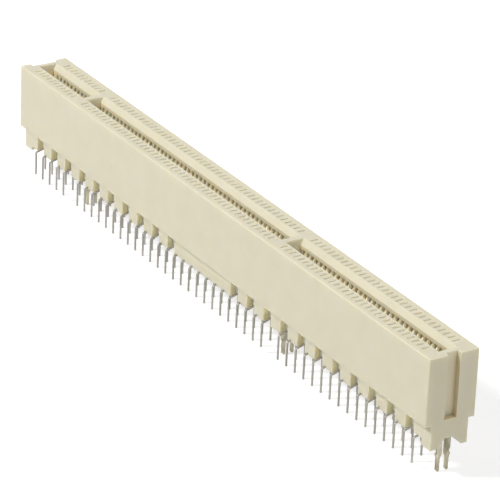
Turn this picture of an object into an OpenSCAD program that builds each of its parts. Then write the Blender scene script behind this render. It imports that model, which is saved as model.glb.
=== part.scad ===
// Card edge connector that stands on a circuit board and takes a plug-in card from above.
// X runs along the card slot, Y runs across it, and Z = 0 is the upper face of the board.

/* [Contact grid] */
// Distance between neighbouring contacts along the slot
pitch = 1.27; // [1.2:0.01:1.4]
// Contacts on each side of the first bank
first_bank = 11; // [7:4:19]
// Contacts on each side of the middle bank
middle_bank = 49; // [41:4:57]
// Contacts on each side of the last bank
last_bank = 32; // [24:4:40]
// Grid positions without contacts at each key
key_gap = 2; // [2:2:4]
// From the centre of an end contact to the end of the housing
end_margin = 3.685; // [3.6:0.005:4.4]

/* [Housing] */
// Width of the upper body
body_w = 8.9; // [8.4:0.1:10]
// Height of the top above the board
body_h = 15.35; // [14.8:0.05:17]
// Height above the board where the upper body steps in to the skirt
step_h = 4.15; // [3.6:0.05:5]
// Width of the skirt
skirt_w = 6.6; // [6.4:0.1:7.2]
// Gap between the board and the outer edge of the skirt
skirt_lift = 0.7; // [0.65:0.05:0.9]
// Gap between the board and the skirt beside each foot, where the end tails come out
relief_lift = 1.15; // [0.8:0.05:1.15]
// Height of the underside between the two walls of the skirt
belly_h = 1.55; // [1.45:0.05:2]
// Length of a corner foot along the slot
foot_l = 2.3; // [1.6:0.1:2.4]
// Width of the flat bottom of the skirt and the feet
foot_w = 1.05; // [0.9:0.05:1.1]
// Radius of the top edges
edge_r = 0.15; // [0.1:0.05:0.6]
// Radius of the four upright corners
corner_r = 0.2; // [0.1:0.05:0.6]

/* [Card slot] */
// Thickness of the card that goes in
card_t = 1.57; // [1.4:0.01:1.7]
// Clearance between the card and each wall of the slot
card_clear = 0.115; // [0.05:0.005:0.2]
// Depth of the slot below the top
slot_d = 8.9; // [8:0.1:9.2]
// From the centre of an end contact to the end wall of the slot
slot_over = 1.6; // [1.3:0.05:1.8]
// Thickness of a key bridge across the slot
key_w = 1.8; // [1.4:0.05:2]
// Lead-in chamfer along the sides of the slot
lead_in = 0.8; // [0.3:0.05:1]
// Lead-in chamfer on the end walls and key bridges
end_lead_in = 0.35; // [0.2:0.05:0.6]

/* [Top slits] */
// Width of a slit along the slot
slit_w = 0.45; // [0.3:0.05:0.6]
// From the centre plane to the inner end of a slit
slit_in = 2.05; // [1.9:0.05:2.4]
// Length of a slit
slit_l = 1.4; // [1:0.05:1.6]
// Depth of a slit
slit_d = 0.35; // [0.2:0.05:1]

/* [End recesses] */
// Width of the recess in the left end
left_recess_w = 5.1; // [3:0.1:6]
// Depth of the recess in the left end
left_recess_d = 1; // [0.5:0.05:1.2]
// Width of the groove in the right end
right_groove_w = 2.2; // [1.4:0.1:3]
// Depth of the groove in the right end
right_groove_d = 0.95; // [0.5:0.05:1.2]
// Height above the board of the ledge that closes both recesses
ledge_h = 4.65; // [4.2:0.05:6]

/* [Skirt notches] */
// Contacts in one bay of the skirt
bay_size = 4; // [4:4:8]
// Width of a notch along the skirt
notch_w = 2.3; // [1.8:0.1:2.8]
// Depth of a notch into the skirt
notch_d = 1; // [0.4:0.05:1]
// First bay without a notch, counted from the left end
plain_bay = 10; // [4:1:16]
// Bays without a notch
plain_bays = 3; // [1:1:6]

/* [Contacts] */
// Thickness of the contact strip
strip_t = 0.2; // [0.15:0.01:0.25]
// Width of the part that is pressed into the housing
base_w = 0.72; // [0.6:0.01:0.8]
// Height where that part begins
base_low = 1.9; // [1.7:0.1:2.4]
// Height where that part ends
base_high = 5.4; // [5:0.1:5.6]
// Width of a tail
tail_w = 0.36; // [0.3:0.01:0.5]
// Width of a tail at its tip
tail_tip_w = 0.2; // [0.1:0.01:0.3]
// Width of the spring at its root
spring_w = 0.56; // [0.45:0.01:0.6]
// Width of the spring at its tip
spring_tip_w = 0.42; // [0.3:0.01:0.44]
// From the centre plane to the upright shank
shank_y = 1.95; // [1.9:0.01:2]
// From the centre plane to the inner row of tails
inner_row = 1.27; // [1.2:0.01:1.4]
// From the centre plane to the outer row of tails
outer_row = 3.81; // [3.7:0.01:4]
// Length of a tail below the upper face of the board
tail_l = 3.55; // [2.5:0.05:4]
// Height above the board of the lower bend, where a tail leaves its sideways step
jog_h = 0.64; // [0.5:0.01:0.7]
// Height of the upper bend above the lower one
jog_rise = 0.55; // [0.3:0.05:0.6]
// Radius of the two bends of a tail, at the middle of the strip
bend_r = 0.22; // [0.2:0.01:0.24]
// Height where the spring leaves the shank
root_h = 6.7; // [6.4:0.1:7]
// Radius of the bend there
root_r = 0.9; // [0.5:0.1:1.2]
// Height of the nose that touches the card
nose_h = 11.8; // [11:0.1:12.4]
// Radius of the nose
nose_r = 0.45; // [0.3:0.05:0.6]
// How far the nose stands into the slot from its wall
nose_reach = 0.4; // [0.2:0.05:0.6]
// Height of the spring's tip
tip_h = 13.4; // [13:0.1:13.6]
// From the centre plane to the spring's tip
tip_y = 1.25; // [1.1:0.05:1.5]

/* [Board locks] */
// Thickness of the sheet, along the slot
lock_t = 0.6; // [0.4:0.05:0.8]
// Width of the body that is pressed into the housing
lock_w = 2.6; // [2.4:0.1:2.8]
// Height of the top of that body above the board
lock_top = 5.2; // [4.6:0.1:5.6]
// Width of the slot between the two legs
lock_gap = 0.6; // [0.4:0.05:0.8]
// Width of a leg above its barb
leg_w = 0.75; // [0.6:0.05:0.8]
// How far a barb stands out from its leg
barb = 0.2; // [0.1:0.05:0.3]
// Thickness of the board that the barbs grip
board_t = 1.57; // [1.4:0.01:2]
// Length over which a leg narrows below its barb
neck_l = 0.7; // [0.4:0.05:1]
// Width of a leg at its tip
leg_tip_w = 0.46; // [0.3:0.01:0.5]
// From the centre plane to the tip of a leg
leg_tip_y = 0.8; // [0.7:0.05:0.9]
// Length of the legs below the upper face of the board
leg_l = 4.6; // [4:0.1:5]
// From the right end of the housing to the end lock
end_lock_in = 1.4; // [1.2:0.05:1.5]

/* [Fits] */
// Clearance round a contact in its cavity
cavity_clear = 0.03; // [0.01:0.005:0.05]
// Clearance round a board lock in its pocket
lock_clear = 0.03; // [0.01:0.005:0.05]

/* [Hidden] */
$fn = 48;
// Cuts run this far past the faces that they open
over = 1;
// Straight steps in each bend of a contact
bend_steps = 3;
// Straight steps in each rounded top edge
edge_steps = 3;

positions = first_bank + middle_bank + last_bank + 2 * key_gap;
middle_start = first_bank + key_gap;
last_start = positions - last_bank;
body_l = (positions - 1) * pitch + 2 * end_margin;
slot_w = card_t + 2 * card_clear;
slot_floor = body_h - slot_d;
key_x = [grid_x(first_bank + (key_gap - 1) / 2), grid_x(last_start - (key_gap + 1) / 2)];
slot_spans = [
    [grid_x(0) - slot_over, key_x[0] - key_w / 2],
    [key_x[0] + key_w / 2, key_x[1] - key_w / 2],
    [key_x[1] + key_w / 2, grid_x(positions - 1) + slot_over]
];

bays = ceil(positions / bay_size);
notches = floor(positions / bay_size);
bay_pitch = bay_size * pitch;
notched_half = (notches - 1) / 2 * bay_pitch + notch_w / 2;

// Room above the bent tail in its groove
tail_room = 0.1;

cavity_w = base_w + 2 * cavity_clear;
shank_in = shank_y - strip_t / 2 - cavity_clear;
shank_out = shank_y + strip_t / 2 + cavity_clear;
nose_y = slot_w / 2 - nose_reach + strip_t / 2;
// Sloped ends of the part of a contact that is pressed in
shoulder = 0.25;
// Room in the chamber above the spring's tip
tip_room = 0.5;
// The chamber's floor lies this far below the spring's root, and rises this far above it at the slot
chamber_drop = 0.8;
chamber_rise = 0.6;

lock_x = [key_x[0], key_x[1], body_l / 2 - end_lock_in];
lock_names = ["first_key_lock", "second_key_lock", "end_lock"];
sides = ["front", "rear"];

function bay_name(side, bay) = str(side, "_contacts_", bay < 9 ? "0" : "", bay + 1);

function grid_x(i) = (i - (positions - 1) / 2) * pitch;

function has_contact(i) =
    i < first_bank
    || (i >= middle_start && i < middle_start + middle_bank)
    || (i >= last_start && i < positions);

contact_positions = [for (i = [0 : positions - 1]) if (has_contact(i)) i];

// An outline and its mirror image across the centre plane, from a list that starts at the top
function mirrored(half) = concat(half, [for (i = [len(half) - 1 : -1 : 0]) [-half[i].x, half[i].y]]);

// Unit vector along v
function unit(v) = v / norm(v);

// Points of the arc of radius r that rounds the corner b between a and c
function corner_arc(a, b, c, r, steps) =
    let (
        u = unit(a - b),
        w = unit(c - b),
        half = acos(u * w) / 2,
        centre = b + unit(u + w) * r / sin(half),
        from = b + u * r / tan(half) - centre,
        turn = sign(cross(u, w)) * (2 * half - 180)
    )
    [for (k = [0 : steps])
        let (t = turn * k / steps)
        centre + [from.x * cos(t) - from.y * sin(t), from.x * sin(t) + from.y * cos(t)]];

// A line with each inner corner rounded to its own radius
function rounded_line(points, radii) = [
    points[0],
    for (k = [1 : len(points) - 2])
        each corner_arc(points[k - 1], points[k], points[k + 1], radii[k - 1], bend_steps),
    points[len(points) - 1]
];

// The point k of a line moved sideways by d, on the mitre of the two stretches that meet there
function beside(line, k, d) =
    let (
        before = unit(line[max(k, 1)] - line[max(k, 1) - 1]),
        after = unit(line[min(k, len(line) - 2) + 1] - line[min(k, len(line) - 2)]),
        mid = unit(before + after)
    )
    line[k] + [-mid.y, mid.x] * d / (mid * after);

// A strip of thickness t whose middle follows a line
module strip(line, t) {
    last = len(line) - 1;
    polygon(concat(
        [for (k = [0 : last]) beside(line, k, t / 2)],
        [for (k = [last : -1 : 0]) beside(line, k, -t / 2)]
    ));
}

// A (y, z) profile drawn out along the slot
module along_x(l) rotate([90, 0, 90]) linear_extrude(l, center = true) children();

// An (x, z) profile drawn out across the slot
module along_y(l) rotate([90, 0, 0]) linear_extrude(l, center = true) children();

// Both sides of the slot: the rear side as drawn, then its mirror image in front
module both_sides() {
    children();
    mirror([0, 1, 0]) children();
}

// Points of the rounded corner at one side of the top, for an outline of width w that goes down to low
function top_corner(w, low) =
    corner_arc([0, body_h], [w / 2, body_h], [w / 2, low], edge_r, edge_steps);

// The housing seen from the front, with both top corners rounded
module front_profile()
    polygon(mirrored(concat(top_corner(body_l, 0), [[body_l / 2, 0]])));

// Cross-section of the housing, whose skirt ends at a height above the board
module housing_profile(bottom) {
    inner = skirt_w / 2 - foot_w;
    polygon(mirrored(concat(
        top_corner(body_w, step_h),
        [
            [body_w / 2, step_h],
            [skirt_w / 2, step_h],
            [skirt_w / 2, bottom],
            [inner, bottom],
            [inner - (belly_h - bottom), belly_h]
        ]
    )));
}

module housing_plan() {
    straight = [body_l / 2 - corner_r, body_w / 2 - corner_r];
    square([body_l, 2 * straight.y], center = true);
    square([2 * straight.x, body_w], center = true);
    for (x = [-straight.x, straight.x], y = [-straight.y, straight.y])
        translate([x, y])
            circle(corner_r);
}

// A stretch of the housing between two places along the slot
module housing_stretch(from, to, bottom)
    translate([(from + to) / 2, 0, 0])
        along_x(to - from)
            housing_profile(bottom);

module housing_block() {
    foot_x = body_l / 2 - foot_l;
    intersection() {
        union() {
            housing_stretch(-notched_half, notched_half, skirt_lift);
            for (end = [0, 1])
                mirror([end, 0, 0]) {
                    housing_stretch(notched_half, foot_x, relief_lift);
                    housing_stretch(foot_x, body_l / 2, 0);
                }
        }
        linear_extrude(body_h)
            housing_plan();
        along_y(2 * body_w)
            front_profile();
    }
}

// A trapezium that widens by flare on each side towards the top, for the mouth of the slot
module mouth_profile(w, flare)
    polygon(mirrored([
        [w / 2 + flare + over * flare / lead_in, body_h + over],
        [w / 2, body_h - lead_in]
    ]));

// One stretch of the card slot with its chamfered mouth
module card_slot(span) {
    l = span[1] - span[0];
    translate([(span[0] + span[1]) / 2, 0, 0]) {
        translate([-l / 2, -slot_w / 2, slot_floor])
            cube([l, slot_w, slot_d + over]);
        intersection() {
            along_x(l + body_w)
                mouth_profile(slot_w, lead_in);
            along_y(body_w)
                mouth_profile(l, end_lead_in);
        }
    }
}

// The chute for the shank of one contact, and the chamber above it that opens into the slot
module contact_cavity()
    along_x(cavity_w)
        polygon([
            [shank_in, -over],
            [shank_out, -over],
            [shank_out, tip_h + tip_room],
            [slot_w / 4, tip_h + tip_room],
            [slot_w / 4, root_h + chamber_rise],
            [slot_w / 2, root_h + chamber_rise],
            [shank_in, root_h - chamber_drop]
        ]);

module contact_cavities()
    both_sides()
        for (i = contact_positions)
            translate([grid_x(i), 0, 0])
                contact_cavity();

// The groove in the underside of the housing for one bent tail, from its chute to its row
module tail_groove(row) {
    top = jog_h + strip_t / 2 + tail_room;
    along_x(tail_w + 2 * cavity_clear)
        polygon([[shank_y, -over], [row, -over], [row, top], [shank_y, top + jog_rise]]);
}

module tail_grooves()
    for (side = [0, 1], i = contact_positions)
        translate([grid_x(i), 0, 0])
            mirror([0, 1 - side, 0])
                tail_groove(tail_row(side, i));

module top_slits()
    translate([0, 0, body_h - slit_d])
        linear_extrude(slit_d + over)
            for (i = contact_positions, y = [slit_in, -slit_in - slit_l])
                translate([grid_x(i) - slit_w / 2, y])
                    square([slit_w, slit_l]);

module skirt_notches()
    both_sides()
        for (bay = [0 : notches - 1])
            if (bay < plain_bay || bay >= plain_bay + plain_bays)
                translate([
                    (bay - (notches - 1) / 2) * bay_pitch - notch_w / 2,
                    skirt_w / 2 - notch_d,
                    -over
                ])
                    cube([notch_w, notch_d + over, step_h + over]);

// A recess in one end of the housing, open at the top
module end_recess(w, d)
    translate([body_l / 2 - d, -w / 2, ledge_h])
        cube([d + over, w, body_h - ledge_h + over]);

module lock_pocket()
    translate([0, 0, (lock_top + lock_clear - over) / 2])
        cube([lock_t + 2 * lock_clear, lock_w + 2 * lock_clear, lock_top + lock_clear + over], center = true);

module housing()
    color([0.9, 0.87, 0.76])
        difference() {
            housing_block();
            for (span = slot_spans)
                card_slot(span);
            contact_cavities();
            tail_grooves();
            top_slits();
            skirt_notches();
            end_recess(right_groove_w, right_groove_d);
            mirror([1, 0, 0])
                end_recess(left_recess_w, left_recess_d);
            for (x = lock_x)
                translate([x, 0, 0])
                    lock_pocket();
        }

// Bent shape of a contact seen from the end, with its tail in the given row
module contact_form(row)
    strip(
        rounded_line(
            [
                [row, -tail_l],
                [row, jog_h],
                [shank_y, jog_h + jog_rise],
                [shank_y, root_h],
                [nose_y, nose_h],
                [tip_y, tip_h]
            ],
            [bend_r, bend_r, root_r, nose_r]
        ),
        strip_t
    );

// Flat outline of a contact as it is stamped, seen from the side
module contact_blank()
    polygon(mirrored([
        [spring_tip_w / 2, tip_h + strip_t],
        [spring_w / 2, root_h],
        [spring_w / 2, base_high],
        [base_w / 2, base_high - shoulder],
        [base_w / 2, base_low + shoulder],
        [tail_w / 2, base_low],
        [tail_w / 2, tail_tip_w - tail_l],
        [tail_tip_w / 2, -tail_l - strip_t]
    ]));

// One contact: the stamped blank, bent to its form
module contact(row)
    intersection() {
        along_x(2 * base_w)
            contact_form(row);
        along_y(4 * outer_row)
            contact_blank();
    }

// The tails leave alternately in the outer and the inner row, and the two sides are half a turn apart
function tail_row(side, i) = (i + side) % 2 == 1 ? outer_row : inner_row;

// The contacts of one bay of the skirt, on the front (0) or the rear (1) side
module contact_bay(side, bay)
    color([0.8, 0.74, 0.6])
        for (i = [bay * bay_size : (bay + 1) * bay_size - 1])
            if (has_contact(i))
                translate([grid_x(i), 0, 0])
                    mirror([0, 1 - side, 0])
                        contact(tail_row(side, i));

// A forked board lock: a body pressed into the housing and two barbed legs that snap through the board
module board_lock() {
    leg_in = lock_gap / 2;
    leg_out = leg_in + leg_w;
    barb_z = -board_t - barb;
    tip_r = leg_tip_w / 2;
    tip_z = tip_r - leg_l;
    color([0.78, 0.76, 0.7]) {
        along_x(lock_t)
            polygon(mirrored([
                [lock_w / 2, lock_top],
                [lock_w / 2, belly_h],
                [leg_out, belly_h - (lock_w / 2 - leg_out)],
                [leg_out, -board_t],
                [leg_out + barb, barb_z],
                [leg_tip_y + tip_r, barb_z - neck_l],
                [leg_tip_y + tip_r, tip_z],
                [leg_tip_y - tip_r, tip_z],
                [leg_tip_y - tip_r, barb_z - neck_l],
                [leg_in, barb_z],
                [leg_in, belly_h],
                [0, belly_h + leg_in]
            ]));
        for (y = [-leg_tip_y, leg_tip_y])
            translate([0, y, tip_z])
                rotate([0, 90, 0])
                    cylinder(r = tip_r, h = lock_t, center = true);
    }
}

housing();
for (k = [0 : len(lock_names) - 1])
    translate([lock_x[k], 0, 0]) board_lock();
for (side = [0, 1], bay = [0 : bays - 1])
    contact_bay(side, bay);
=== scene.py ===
import math

import bmesh
import bpy
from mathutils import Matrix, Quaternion, Vector


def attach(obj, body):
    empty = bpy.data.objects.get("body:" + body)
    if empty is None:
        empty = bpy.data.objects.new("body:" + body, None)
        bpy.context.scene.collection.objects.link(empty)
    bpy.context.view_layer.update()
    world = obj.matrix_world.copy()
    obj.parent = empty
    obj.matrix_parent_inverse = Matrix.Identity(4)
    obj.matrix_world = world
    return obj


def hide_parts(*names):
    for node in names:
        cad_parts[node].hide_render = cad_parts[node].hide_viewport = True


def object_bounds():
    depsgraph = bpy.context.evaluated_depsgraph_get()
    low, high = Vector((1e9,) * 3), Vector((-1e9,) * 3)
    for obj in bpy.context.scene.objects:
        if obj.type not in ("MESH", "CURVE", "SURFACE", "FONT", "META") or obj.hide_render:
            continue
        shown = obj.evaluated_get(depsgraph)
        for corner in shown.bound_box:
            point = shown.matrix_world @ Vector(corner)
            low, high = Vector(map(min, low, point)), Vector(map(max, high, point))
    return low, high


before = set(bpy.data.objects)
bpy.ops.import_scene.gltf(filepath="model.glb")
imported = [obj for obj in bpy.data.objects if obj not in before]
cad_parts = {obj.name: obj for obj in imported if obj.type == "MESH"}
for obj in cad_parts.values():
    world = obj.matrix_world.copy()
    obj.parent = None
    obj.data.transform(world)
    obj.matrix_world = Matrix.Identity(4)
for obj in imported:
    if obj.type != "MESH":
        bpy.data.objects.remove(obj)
cad_low, cad_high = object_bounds()
scene = bpy.context.scene

# The view of the photograph: a long lens before the right end of the connector and above it.
# The camera looks at a point just right of the middle and leans a little to one side.
AIM = Vector((0.00665, 0, 0.00791))
AZIMUTH = math.radians(57.73)
ELEVATION = math.radians(24.78)
ROLL = math.radians(2.53)
CAMERA_DISTANCE = 0.5378
LENS = 239.6

camera_data = bpy.data.cameras.new("camera")
camera_data.lens = LENS
camera = bpy.data.objects.new("camera", camera_data)
scene.collection.objects.link(camera)
away = Vector((
    math.sin(AZIMUTH) * math.cos(ELEVATION),
    -math.cos(AZIMUTH) * math.cos(ELEVATION),
    math.sin(ELEVATION),
))
camera.location = AIM + away * CAMERA_DISTANCE
camera.rotation_mode = "QUATERNION"
camera.rotation_quaternion = (-away).to_track_quat("-Z", "Y") @ Quaternion((0, 0, 1), ROLL)
scene.camera = camera

# The housing is one moulding of glass-filled polyester in natural ivory, with a faint satin skin.
# The mould leaves each edge very slightly round, and the fibres show as a fine mottle.
# The resin passes some light under its skin. The amber where it closes in on itself, as in the
# slot, is painted shade in its colour.
HOUSING_EDGE = 0.00006
HOUSING_EDGE_STEPS = 2
SHARP_ANGLE = math.radians(25)
FLAT_ANGLE = math.radians(0.5)
SAME_PLACE = 1e-7
SAME_LEVEL = 1e-6
RELIEF_LIFT = 0.00115
SKIRT_LIFT = 0.0007

IVORY = (0.725, 0.680, 0.522, 1)
IVORY_WARM = (0.705, 0.655, 0.490, 1)
IVORY_PALE = (0.760, 0.715, 0.560, 1)
IVORY_CLOUD = 0.004
IVORY_GRAIN = 0.00022
IVORY_GRAIN_DEPTH = 0.00002
IVORY_GRAIN_STRENGTH = 0.35
GLOW_WEIGHT = 0.85
GLOW_DEPTH = 0.0011
GLOW_TINT = (1, 0.88, 0.62)

# Painted shade: the resin's colour turns amber where it is shut in below the top. It turns paler
# in the deepest hollows, the skirt notches and the walls facing the right end, and browner in the
# groove of the right end.
PAINTED_AMBER_SHADE = (0.800, 0.640, 0.305, 1)
PAINTED_PALE_SHADE = (0.950, 0.890, 0.650, 1)
PAINTED_GROOVE_SHADE = (0.650, 0.540, 0.310, 1)
CREVICE_REACH = 0.0025
CREVICE_RAYS = 8

# Each range is two values of a measure, then the two shares or amounts that they stand for.
IVORY_CLOUD_RANGE = (0.35, 0.7, 0, 1)
IVORY_FLECK_RANGE = (0.55, 0.75, 0, 0.5)
IVORY_GLOSS_RANGE = (0.3, 0.7, 0.42, 0.56)
# Ranges of the painted shade: by openness to the surroundings, by height, by which way a wall
# faces and by place along the length.
PAINTED_SHADE_RANGE = (0.2, 0.9, 1, 0)
PAINTED_SHADE_HEIGHTS = (0.0139, 0.01495, 1, 0)
AMBER_RANGE = (0.05, 0.4, 0, 1)
AMBER_HEIGHTS = (0.0041, 0.0047, 0, 1)
AMBER_FACING = (0.5, 0.9, 1, 0)
GROOVE_PLACE = (0.0624, 0.0630, 0, 1)


def socket(group, name, kind, direction, value=None):
    kind = "NodeSocket" + kind
    made = group.interface.new_socket(name=name, in_out=direction, socket_type=kind)
    if value is not None:
        made.default_value = value


def node(tree, kind, **values):
    made = tree.nodes.new("ShaderNode" + kind)
    for name, value in values.items():
        setattr(made, name, value)
    return made


def link(tree, source, target):
    tree.links.new(source, target)


def mottle_group():
    """Slow cloudiness and fine grain, the two scales at which a moulded or plated skin varies."""
    group = bpy.data.node_groups.new("skin_mottle", "ShaderNodeTree")
    socket(group, "Cloud Size", "Float", "INPUT", 0.003)
    socket(group, "Grain Size", "Float", "INPUT", 0.0002)
    socket(group, "Stretch", "Vector", "INPUT", (1, 1, 1))
    socket(group, "Cloud", "Float", "OUTPUT")
    socket(group, "Grain", "Float", "OUTPUT")
    start = group.nodes.new("NodeGroupInput")
    end = group.nodes.new("NodeGroupOutput")
    place = node(group, "TexCoord")
    stretched = node(group, "VectorMath", operation="MULTIPLY")
    link(group, place.outputs["Object"], stretched.inputs[0])
    link(group, start.outputs["Stretch"], stretched.inputs[1])
    for size, out, detail in (("Cloud Size", "Cloud", 3), ("Grain Size", "Grain", 2)):
        scale = node(group, "Math", operation="DIVIDE")
        scale.inputs[0].default_value = 1
        link(group, start.outputs[size], scale.inputs[1])
        noise = node(group, "TexNoise")
        noise.inputs["Detail"].default_value = detail
        link(group, stretched.outputs[0], noise.inputs["Vector"])
        link(group, scale.outputs[0], noise.inputs["Scale"])
        link(group, noise.outputs["Fac"], end.inputs[out])
    return group


skin_mottle = mottle_group()


def shader(name):
    material = bpy.data.materials.new(name)
    material.use_nodes = True
    return material, material.node_tree, material.node_tree.nodes["Principled BSDF"]


def mottled(tree, cloud_size, grain_size, stretch=(1, 1, 1)):
    mottle = node(tree, "Group", node_tree=skin_mottle)
    mottle.inputs["Cloud Size"].default_value = cloud_size
    mottle.inputs["Grain Size"].default_value = grain_size
    mottle.inputs["Stretch"].default_value = stretch
    return mottle.outputs["Cloud"], mottle.outputs["Grain"]


def position(tree):
    place = node(tree, "TexCoord")
    axes = node(tree, "SeparateXYZ")
    link(tree, place.outputs["Object"], axes.inputs[0])
    return axes.outputs


def mixed(tree, factor, low, high):
    mix = node(tree, "Mix", data_type="RGBA")
    link(tree, factor, mix.inputs["Factor"])
    for target, colour in ((mix.inputs[6], low), (mix.inputs[7], high)):
        if isinstance(colour, tuple):
            target.default_value = colour
        else:
            link(tree, colour, target)
    return mix.outputs[2]


def ranged(tree, value, low, high, to_low, to_high):
    made = node(tree, "MapRange")
    link(tree, value, made.inputs["Value"])
    made.inputs["From Min"].default_value = low
    made.inputs["From Max"].default_value = high
    made.inputs["To Min"].default_value = to_low
    made.inputs["To Max"].default_value = to_high
    return made.outputs["Result"]


def multiplied(tree, first, second):
    product = node(tree, "Math", operation="MULTIPLY")
    link(tree, first, product.inputs[0])
    link(tree, second, product.inputs[1])
    return product.outputs[0]


def bumped(tree, principled, height, distance, strength):
    bump = node(tree, "Bump")
    bump.inputs["Distance"].default_value = distance
    bump.inputs["Strength"].default_value = strength
    link(tree, height, bump.inputs["Height"])
    link(tree, bump.outputs["Normal"], principled.inputs["Normal"])


def painted_resin_shade(tree, colour):
    """Painted shade in the resin's colour: amber in the slot, browner in the groove of the right
    end, and pale deep in the cavities.

    The notches of the skirt and the walls across the slot get more light, so their painted shade
    stays pale too.
    """
    closed = node(tree, "AmbientOcclusion", samples=CREVICE_RAYS, only_local=True)
    closed.inputs["Distance"].default_value = CREVICE_REACH
    openness = closed.outputs["AO"]
    axes = position(tree)
    surface = node(tree, "NewGeometry")
    facing = node(tree, "SeparateXYZ")
    link(tree, surface.outputs["Normal"], facing.inputs[0])
    # Painted shade: how far the colour moves to the shade colour depends on how shut in the
    # surface is and how far it lies below the top.
    painted_shade = multiplied(
        tree,
        ranged(tree, openness, *PAINTED_SHADE_RANGE),
        ranged(tree, axes["Z"], *PAINTED_SHADE_HEIGHTS),
    )
    amber = multiplied(
        tree,
        ranged(tree, openness, *AMBER_RANGE),
        ranged(tree, axes["Z"], *AMBER_HEIGHTS),
    )
    amber = multiplied(tree, amber, ranged(tree, facing.outputs["X"], *AMBER_FACING))
    # Painted shade: pale in the most shut-in hollows, the notches of the skirt and the walls
    # facing the right end, amber elsewhere.
    shade = mixed(tree, amber, PAINTED_PALE_SHADE, PAINTED_AMBER_SHADE)
    # Painted shade: the groove of the right end is painted browner.
    shade = mixed(tree, ranged(tree, axes["X"], *GROOVE_PLACE), shade, PAINTED_GROOVE_SHADE)
    return mixed(tree, painted_shade, colour, shade)


def ivory_plastic():
    material, tree, principled = shader("ivory_plastic")
    cloud, grain = mottled(tree, IVORY_CLOUD, IVORY_GRAIN)
    colour = mixed(tree, ranged(tree, cloud, *IVORY_CLOUD_RANGE), IVORY, IVORY_WARM)
    colour = mixed(tree, ranged(tree, grain, *IVORY_FLECK_RANGE), colour, IVORY_PALE)
    # Painted shade: the base colour is darkened to amber or brown, or paled, where the resin is
    # shut in.
    link(tree, painted_resin_shade(tree, colour), principled.inputs["Base Color"])
    link(tree, ranged(tree, grain, *IVORY_GLOSS_RANGE), principled.inputs["Roughness"])
    bumped(tree, principled, grain, IVORY_GRAIN_DEPTH, IVORY_GRAIN_STRENGTH)
    principled.inputs["Subsurface Weight"].default_value = GLOW_WEIGHT
    principled.inputs["Subsurface Radius"].default_value = GLOW_TINT
    principled.inputs["Subsurface Scale"].default_value = GLOW_DEPTH
    return material


def softened(solid, name, edge, steps):
    """A copy of a solid with its flat faces whole again and each sharp edge slightly rounded."""
    mesh = bmesh.new()
    mesh.from_mesh(solid)
    bmesh.ops.remove_doubles(mesh, verts=mesh.verts, dist=SAME_PLACE)
    bmesh.ops.dissolve_limit(mesh, angle_limit=FLAT_ANGLE, verts=mesh.verts, edges=mesh.edges)
    bmesh.ops.bevel(
        mesh,
        geom=[e for e in mesh.edges if e.is_manifold and e.calc_face_angle() > SHARP_ANGLE],
        offset=edge,
        segments=steps,
        profile=0.5,
        affect="EDGES",
        clamp_overlap=True,
    )
    for face in mesh.faces:
        face.smooth = True
    data = bpy.data.meshes.new(name)
    mesh.to_mesh(data)
    mesh.free()
    made = bpy.data.objects.new(name, data)
    scene.collection.objects.link(made)
    made.modifiers.new("even_faces", "WEIGHTED_NORMAL")
    return made


# The skirt is raised only beside the feet where an outer tail leaves: front right and rear left.
# Beside the other two feet it is lowered to the level of the rest of the skirt.
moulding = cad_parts["housing"].data.copy()
for vertex in moulding.vertices:
    if abs(vertex.co.z - RELIEF_LIFT) < SAME_LEVEL and vertex.co.x * vertex.co.y > 0:
        vertex.co.z = SKIRT_LIFT
housing = softened(moulding, "housing_moulding", HOUSING_EDGE, HOUSING_EDGE_STEPS)
housing.data.materials.append(ivory_plastic())
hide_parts("housing")
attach(housing, "root")

# The contacts are stamped from thin phosphor bronze strip, bent, and pressed into the housing
# from below. Their solder tails are tinned and dull, and the sprung noses that touch the card
# are plated with gold.
STRIP_EDGE = 0.00002
STRIP_EDGE_STEPS = 1
TIN = (0.42, 0.41, 0.375, 1)
TIN_DARK = (0.30, 0.285, 0.25, 1)
GOLD = (0.52, 0.42, 0.25, 1)
GOLD_DEEP = (0.42, 0.33, 0.18, 1)
PLATING_HEIGHTS = (0.0057, 0.0073, 0, 1)
STRIP_CLOUD = 0.0008
STRIP_GRAIN = 0.00008
STRIP_STRETCH = (1, 1, 0.15)
STRIP_CLOUD_RANGE = (0.3, 0.7, 0, 1)
STRIP_GLOSS_RANGE = (0.3, 0.7, 0.42, 0.6)
METAL_GRAIN_DEPTH = 0.00001
METAL_GRAIN_STRENGTH = 0.3


def contact_metal():
    material, tree, principled = shader("contact_metal")
    cloud, grain = mottled(tree, STRIP_CLOUD, STRIP_GRAIN, STRIP_STRETCH)
    patch = ranged(tree, cloud, *STRIP_CLOUD_RANGE)
    tin = mixed(tree, patch, TIN, TIN_DARK)
    gold = mixed(tree, patch, GOLD, GOLD_DEEP)
    gilt = ranged(tree, position(tree)["Z"], *PLATING_HEIGHTS)
    link(tree, mixed(tree, gilt, tin, gold), principled.inputs["Base Color"])
    link(tree, ranged(tree, grain, *STRIP_GLOSS_RANGE), principled.inputs["Roughness"])
    bumped(tree, principled, grain, METAL_GRAIN_DEPTH, METAL_GRAIN_STRENGTH)
    principled.inputs["Metallic"].default_value = 1
    return material


plated_strip = contact_metal()
for name, cad_object in list(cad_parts.items()):
    if "_contacts_" in name:
        strips = softened(cad_object.data, name + "_strips", STRIP_EDGE, STRIP_EDGE_STEPS)
        strips.data.materials.append(plated_strip)
        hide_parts(name)
        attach(strips, "root")

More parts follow.
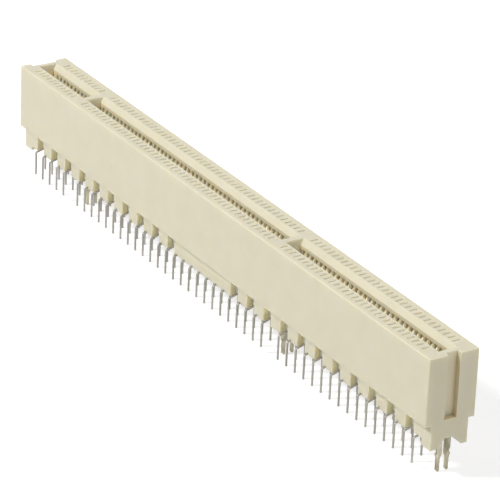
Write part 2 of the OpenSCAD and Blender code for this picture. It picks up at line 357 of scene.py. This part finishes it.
# Each board lock is a fork stamped from sheet metal and tinned, pressed into a pocket under the
# housing. Its two barbed legs snap through a hole in the board and hold the connector while it
# is soldered.
LOCK_EDGE = 0.00004
LOCK_EDGE_STEPS = 2
LOCK_TIN = (0.56, 0.52, 0.40, 1)
LOCK_TIN_DARK = (0.25, 0.23, 0.15, 1)
LOCK_CLOUD = 0.0011
LOCK_GRAIN = 0.0001
LOCK_STRETCH = (1, 1, 0.5)
LOCK_CLOUD_RANGE = (0.38, 0.66, 0, 1)
LOCK_GLOSS_RANGE = (0.3, 0.7, 0.32, 0.5)


def lock_metal():
    material, tree, principled = shader("lock_metal")
    cloud, grain = mottled(tree, LOCK_CLOUD, LOCK_GRAIN, LOCK_STRETCH)
    tin = mixed(tree, ranged(tree, cloud, *LOCK_CLOUD_RANGE), LOCK_TIN, LOCK_TIN_DARK)
    link(tree, tin, principled.inputs["Base Color"])
    link(tree, ranged(tree, grain, *LOCK_GLOSS_RANGE), principled.inputs["Roughness"])
    bumped(tree, principled, grain, METAL_GRAIN_DEPTH, METAL_GRAIN_STRENGTH)
    principled.inputs["Metallic"].default_value = 1
    return material


tinned_sheet = lock_metal()
for name in ("first_key_lock", "second_key_lock", "end_lock"):
    lock = softened(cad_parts[name].data, name + "_fork", LOCK_EDGE, LOCK_EDGE_STEPS)
    lock.data.materials.append(tinned_sheet)
    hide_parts(name)
    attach(lock, "root")

# The floor is a pale sheet just under the tips of the board locks, with a trace of the shadow.
# It and the sky read as white to the camera and in the metal, but light the object plainly.
FLOOR_HALF = 2.0
FLOOR_PALE = (0.64, 0.64, 0.64, 1)
FLOOR_GLOW = 0.58
SKY_FILL = 0.17
SKY_SEEN = 1
WHITE = (1, 1, 1, 1)


def seen_rays(tree):
    """1 for rays that show the background itself: from the camera, in gloss and through glass."""
    path = node(tree, "LightPath")
    total = path.outputs["Is Camera Ray"]
    for name in ("Is Glossy Ray", "Is Transmission Ray"):
        highest = node(tree, "Math", operation="MAXIMUM")
        link(tree, total, highest.inputs[0])
        link(tree, path.outputs[name], highest.inputs[1])
        total = highest.outputs[0]
    return total


def floor_sheet():
    material, tree, principled = shader("floor_sheet")
    principled.inputs["Base Color"].default_value = FLOOR_PALE
    principled.inputs["Roughness"].default_value = 1
    principled.inputs["Emission Color"].default_value = WHITE
    glow = ranged(tree, seen_rays(tree), 0, 1, 0, FLOOR_GLOW)
    link(tree, glow, principled.inputs["Emission Strength"])
    return material


floor_mesh = bpy.data.meshes.new("floor")
floor_corners = [
    (x * FLOOR_HALF, y * FLOOR_HALF, cad_low.z)
    for x, y in ((-1, -1), (1, -1), (1, 1), (-1, 1))
]
floor_mesh.from_pydata(floor_corners, [], [(0, 1, 2, 3)])
floor = bpy.data.objects.new("floor", floor_mesh)
scene.collection.objects.link(floor)
floor.data.materials.append(floor_sheet())

world = bpy.data.worlds.new("studio")
world.use_nodes = True
scene.world = world
sky_tree = world.node_tree
sky = sky_tree.nodes["Background"]
sky.inputs["Color"].default_value = WHITE
sky_level = ranged(sky_tree, seen_rays(sky_tree), 0, 1, SKY_FILL, SKY_SEEN)
link(sky_tree, sky_level, sky.inputs["Strength"])

# The key is a soft box before the long side and a little to the left, so that the right end
# is in soft shade. Weaker boxes fill that end, the notches of the skirt and the back.
LAMP_DISTANCE = 0.9


def soft_box(name, direction, size, power):
    lamp_data = bpy.data.lights.new(name, "AREA")
    lamp_data.size = size
    lamp_data.energy = power
    lamp = bpy.data.objects.new(name, lamp_data)
    scene.collection.objects.link(lamp)
    lamp.location = AIM + direction.normalized() * LAMP_DISTANCE
    lamp.rotation_mode = "QUATERNION"
    lamp.rotation_quaternion = (-direction).to_track_quat("-Z", "Y")


soft_box("key", Vector((-0.28, -0.70, 0.72)), size=0.16, power=6.2)
soft_box("rear_fill", Vector((0.8, 0.2, 0.8)), size=0.5, power=2.1)
soft_box("side_fill", Vector((0.9, -0.3, 0.12)), size=0.4, power=1.0)
soft_box("back_fill", Vector((-0.2, 0.95, 0.15)), size=0.6, power=3.0)

scene.view_settings.view_transform = "Standard"
